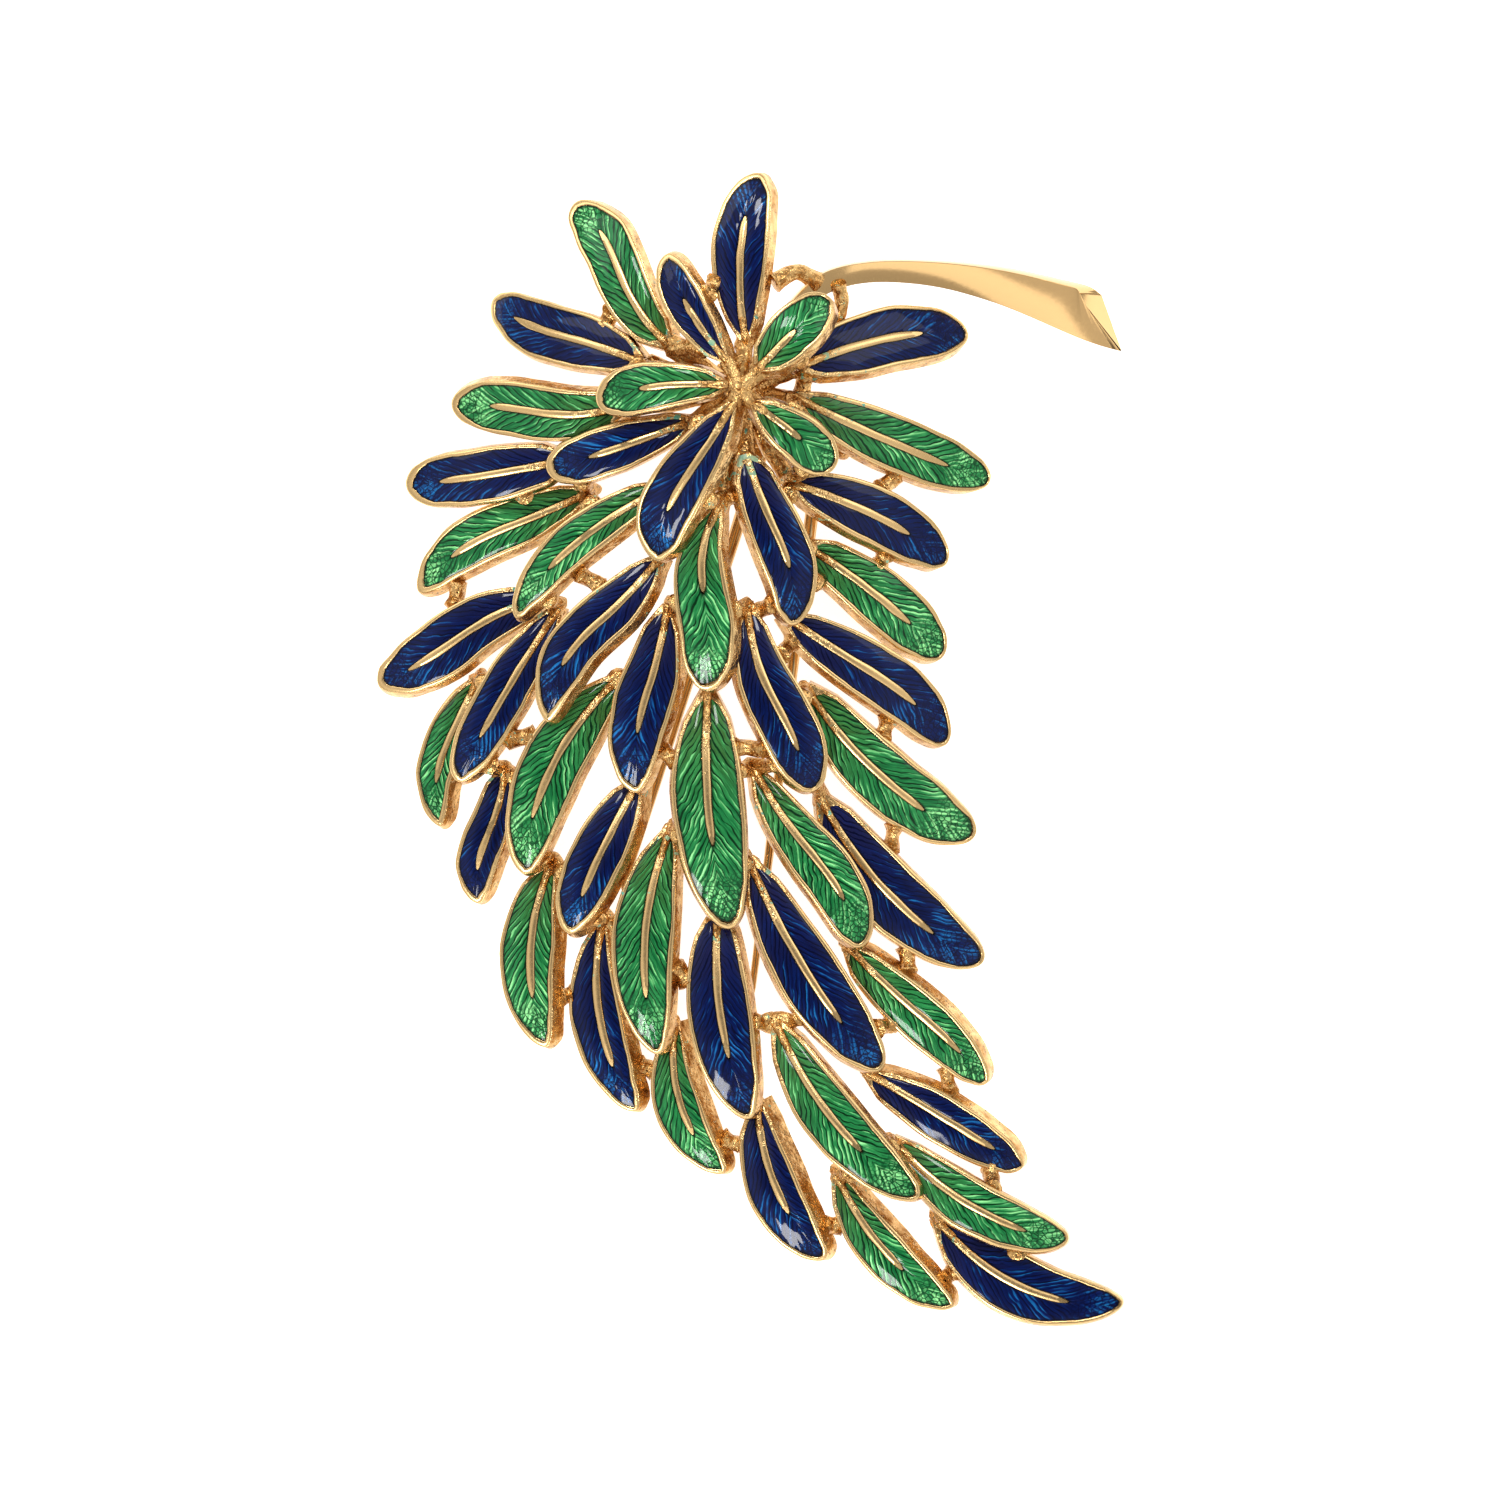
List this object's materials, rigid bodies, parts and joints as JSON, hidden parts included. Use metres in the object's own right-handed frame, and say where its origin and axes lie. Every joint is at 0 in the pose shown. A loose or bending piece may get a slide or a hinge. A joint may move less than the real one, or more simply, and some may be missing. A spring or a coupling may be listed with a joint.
{
  "type": "enamel brooch",
  "caption": "Leaf spray brooch: pointed gold leaf cups filled with blue and green enamel, round a granular knob, with a curved stem and a double-pronged clip.",
  "frame": {"origin": "under the middle of the brooch's outline, in the plane that its lowest leaves lie on", "axes": "+Z out of the brooch's face, +Y along the spray towards its rosette and top leaf, +X towards the stem's end"},
  "size_m": [0.0486, 0.0748, 0.0113],
  "materials": {
    "gold": "polished, grained in the recesses",
    "polished_gold": "polished",
    "enamel_blue": "glossy translucent enamel over metal",
    "enamel_green": "glossy translucent enamel over metal"
  },
  "bodies": {
    "root": {"clip_fork": "polished_gold", "enamel_blue_01": "enamel_blue", "enamel_blue_02": "enamel_blue", "enamel_blue_06": "enamel_blue", "enamel_blue_08": "enamel_blue", "enamel_blue_09": "enamel_blue", "enamel_blue_12": "enamel_blue", "enamel_blue_13": "enamel_blue", "enamel_blue_16": "enamel_blue", "enamel_blue_17": "enamel_blue", "enamel_blue_20": "enamel_blue", "enamel_blue_21": "enamel_blue", "enamel_blue_22": "enamel_blue", "enamel_blue_23": "enamel_blue", "enamel_blue_25": "enamel_blue", "enamel_blue_26": "enamel_blue", "enamel_blue_29": "enamel_blue", "enamel_blue_32": "enamel_blue", "enamel_blue_33": "enamel_blue", "enamel_blue_36": "enamel_blue", "enamel_blue_37": "enamel_blue", "enamel_blue_38": "enamel_blue", "enamel_blue_42": "enamel_blue", "enamel_blue_43": "enamel_blue", "enamel_blue_46": "enamel_blue", "enamel_green_03": "enamel_green", "enamel_green_04": "enamel_green", "enamel_green_05": "enamel_green", "enamel_green_07": "enamel_green", "enamel_green_10": "enamel_green", "enamel_green_11": "enamel_green", "enamel_green_14": "enamel_green", "enamel_green_15": "enamel_green", "enamel_green_18": "enamel_green", "enamel_green_19": "enamel_green", "enamel_green_24": "enamel_green", "enamel_green_27": "enamel_green", "enamel_green_28": "enamel_green", "enamel_green_30": "enamel_green", "enamel_green_31": "enamel_green", "enamel_green_34": "enamel_green", "enamel_green_35": "enamel_green", "enamel_green_39": "enamel_green", "enamel_green_40": "enamel_green", "enamel_green_41": "enamel_green", "enamel_green_44": "enamel_green", "enamel_green_45": "enamel_green", "leaf_frame": "gold"}
  },
  "joints": []
}
